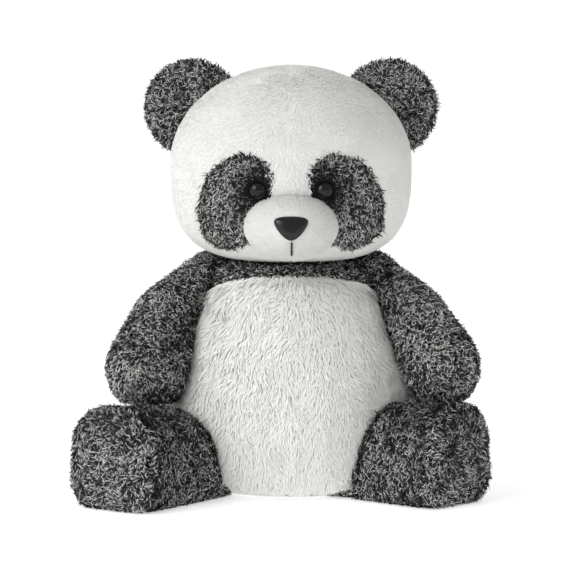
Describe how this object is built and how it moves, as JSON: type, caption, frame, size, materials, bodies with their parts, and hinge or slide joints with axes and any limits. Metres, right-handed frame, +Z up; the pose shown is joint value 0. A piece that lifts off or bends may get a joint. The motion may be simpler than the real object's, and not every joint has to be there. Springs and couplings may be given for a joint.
{
  "type": "plush panda",
  "caption": "Sitting stuffed plush panda with round ears, eye patches, safety eyes and nose, floppy arms and legs, and a flat bean-weighted seat.",
  "frame": {"origin": "middle of the flat seat panel, on the floor", "axes": "+Z up, -Y the way the face looks, +X to the right of someone facing the toy"},
  "size_m": [0.2704, 0.2066, 0.2895],
  "materials": {
    "white_plush": "soft white pile",
    "grey_plush": "two-tone grey pile, dark base and lighter tips",
    "fibre": "loose polyester fibre",
    "thread": "twisted thread",
    "eye_plastic": "glossy",
    "nose_plastic": "satin",
    "washer_plastic": "moulded",
    "bag_cloth": "plain woven",
    "bead_plastic": "loose beads"
  },
  "bodies": {
    "torso": {"belly_panel": "white_plush", "back_panel_left": "white_plush", "back_panel_right": "white_plush", "shoulder_yoke": "grey_plush", "seat_panel": "white_plush", "tail": "white_plush", "body_filling": "fibre", "pellet_bag": "bag_cloth", "pellets": "bead_plastic"},
    "head": {"face_panel": "white_plush", "head_back_left": "white_plush", "head_back_right": "white_plush", "eye_patch_left": "grey_plush", "eye_patch_right": "grey_plush", "muzzle_panel": "white_plush", "mouth_stitches": "thread", "nose": "nose_plastic", "nose_washer": "washer_plastic", "eye_left": "eye_plastic", "eye_right": "eye_plastic", "eye_washer_left": "washer_plastic", "eye_washer_right": "washer_plastic", "head_filling": "fibre"},
    "ear_left": {"ear_front_left": "grey_plush", "ear_back_left": "grey_plush", "ear_padding_left": "fibre"},
    "ear_right": {"ear_front_right": "grey_plush", "ear_back_right": "grey_plush", "ear_padding_right": "fibre"},
    "arm_left": {"arm_outer_left": "grey_plush", "arm_inner_left": "grey_plush", "arm_filling_left": "fibre"},
    "arm_right": {"arm_outer_right": "grey_plush", "arm_inner_right": "grey_plush", "arm_filling_right": "fibre"},
    "leg_left": {"leg_inner_left": "grey_plush", "leg_outer_left": "grey_plush", "sole_left": "grey_plush", "leg_filling_left": "fibre"},
    "leg_right": {"leg_inner_right": "grey_plush", "leg_outer_right": "grey_plush", "sole_right": "grey_plush", "leg_filling_right": "fibre"}
  },
  "joints": [
    {"name": "head_turn", "type": "hinge", "parent": "torso", "child": "head", "pos_m": [0, -0.004, 0.156], "axis": [0, 0, 1], "range_deg": [-20, 20], "stiffness_Nm_per_rad": 0.05},
    {"name": "ear_bend_left", "type": "hinge", "parent": "head", "child": "ear_left", "pos_m": [-0.06647, 0.008, 0.25885], "axis": [0.6293, 0, 0.7771], "range_deg": [-20, 20], "stiffness_Nm_per_rad": 0.02},
    {"name": "arm_swing_left", "type": "hinge", "parent": "torso", "child": "arm_left", "pos_m": [-0.054, 0.012, 0.1405], "axis": [-1, 0, 0], "range_deg": [0, 45]},
    {"name": "ear_bend_right", "type": "hinge", "parent": "head", "child": "ear_right", "pos_m": [0.06647, 0.008, 0.25885], "axis": [-0.6293, 0, 0.7771], "range_deg": [-20, 20], "stiffness_Nm_per_rad": 0.02},
    {"name": "arm_swing_right", "type": "hinge", "parent": "torso", "child": "arm_right", "pos_m": [0.054, 0.012, 0.1405], "axis": [-1, 0, 0], "range_deg": [0, 45]},
    {"name": "leg_spread_left", "type": "hinge", "parent": "torso", "child": "leg_left", "pos_m": [-0.063, -0.038, 0.021], "axis": [0, 0, -1], "range_deg": [-6, 20], "stiffness_Nm_per_rad": 0.03},
    {"name": "leg_spread_right", "type": "hinge", "parent": "torso", "child": "leg_right", "pos_m": [0.043, -0.03, 0.021], "axis": [0, 0, 1], "range_deg": [-6, 20], "stiffness_Nm_per_rad": 0.03}
  ]
}
